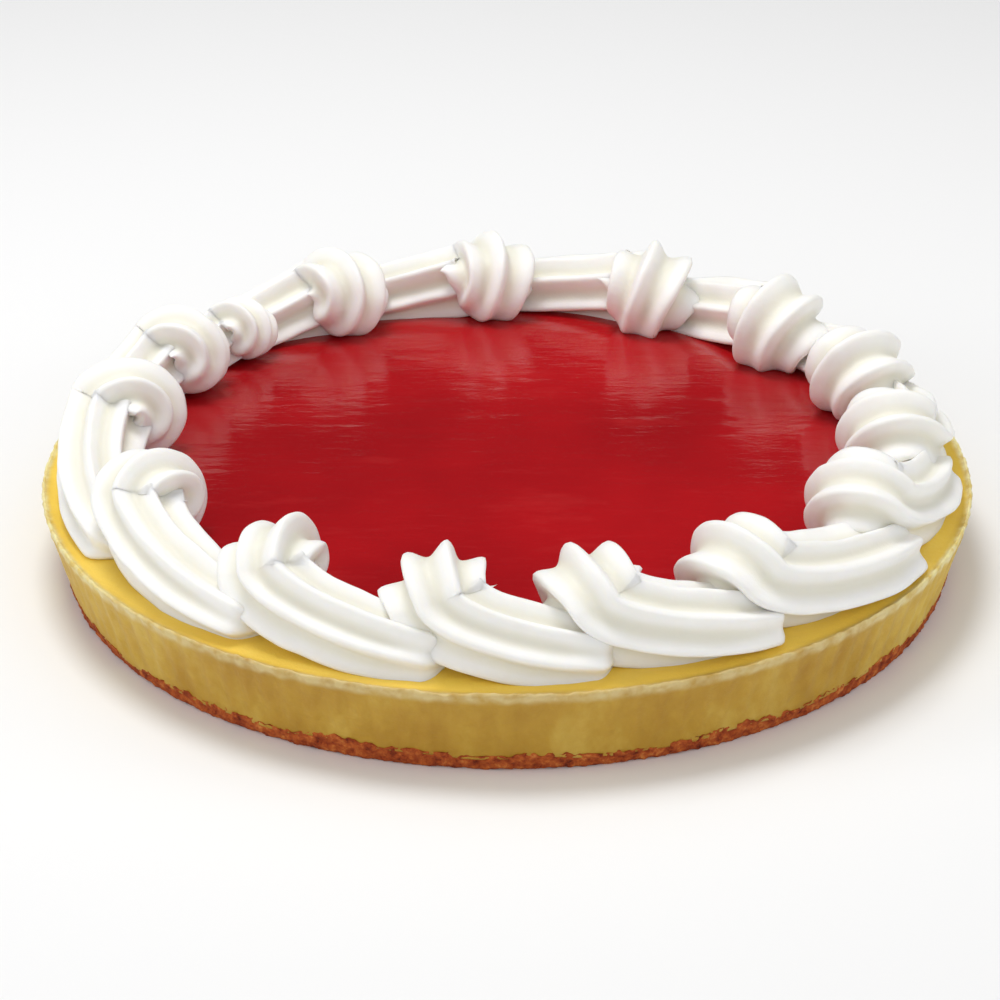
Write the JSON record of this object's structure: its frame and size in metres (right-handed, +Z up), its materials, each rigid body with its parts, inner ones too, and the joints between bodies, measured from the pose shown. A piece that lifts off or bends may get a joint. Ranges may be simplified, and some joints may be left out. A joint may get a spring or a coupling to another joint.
{
  "type": "strawberry cheesecake",
  "caption": "Round uncut cheesecake with a crumb base, a pleated pale side, a glossy red strawberry glaze and a ring of piped whipped-cream swirls around the top.",
  "frame": {"origin": "on the table plane, at the middle of the cake's underside", "axes": "+Z up along the cake's axis, -Y towards the front as pictured, +X to the right"},
  "size_m": [0.254, 0.254, 0.0525],
  "materials": {
    "crust": "rough crumb",
    "cheesecake": "soft satin",
    "glaze": "wet gloss",
    "cream": "soft satin"
  },
  "bodies": {
    "root": {"crumb_crust": "crust", "cheesecake": "cheesecake", "strawberry_glaze": "glaze", "cream_swirl_01": "cream", "cream_swirl_02": "cream", "cream_swirl_03": "cream", "cream_swirl_04": "cream", "cream_swirl_05": "cream", "cream_swirl_06": "cream", "cream_swirl_07": "cream", "cream_swirl_08": "cream", "cream_swirl_09": "cream", "cream_swirl_10": "cream", "cream_swirl_11": "cream", "cream_swirl_12": "cream", "cream_swirl_13": "cream", "cream_swirl_14": "cream", "cream_swirl_15": "cream"}
  },
  "joints": []
}
